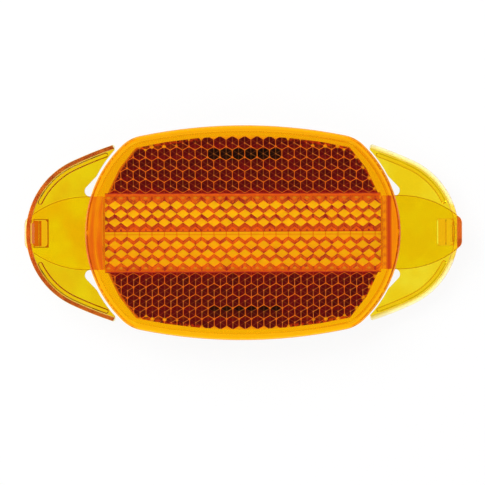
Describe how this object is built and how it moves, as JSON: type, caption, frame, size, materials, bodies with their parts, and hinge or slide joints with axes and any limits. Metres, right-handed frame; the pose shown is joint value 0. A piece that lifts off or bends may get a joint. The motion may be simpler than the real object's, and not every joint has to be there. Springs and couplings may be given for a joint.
{
  "type": "spoke reflector",
  "caption": "Oval amber lens with prisms inside, and a crescent wing and a tongue at either end that clip it between the spokes of a bicycle wheel.",
  "frame": {"origin": "bottom centre, on the rear face under the middle of the lens", "axes": "+X along the reflector towards the front lens's tongue, +Y across it, +Z out of the front face"},
  "size_m": [0.1048, 0.0512, 0.01],
  "materials": {
    "amber_plastic": "clear moulded"
  },
  "bodies": {
    "root": {"front_lens": "amber_plastic", "rear_lens": "amber_plastic"}
  },
  "joints": []
}
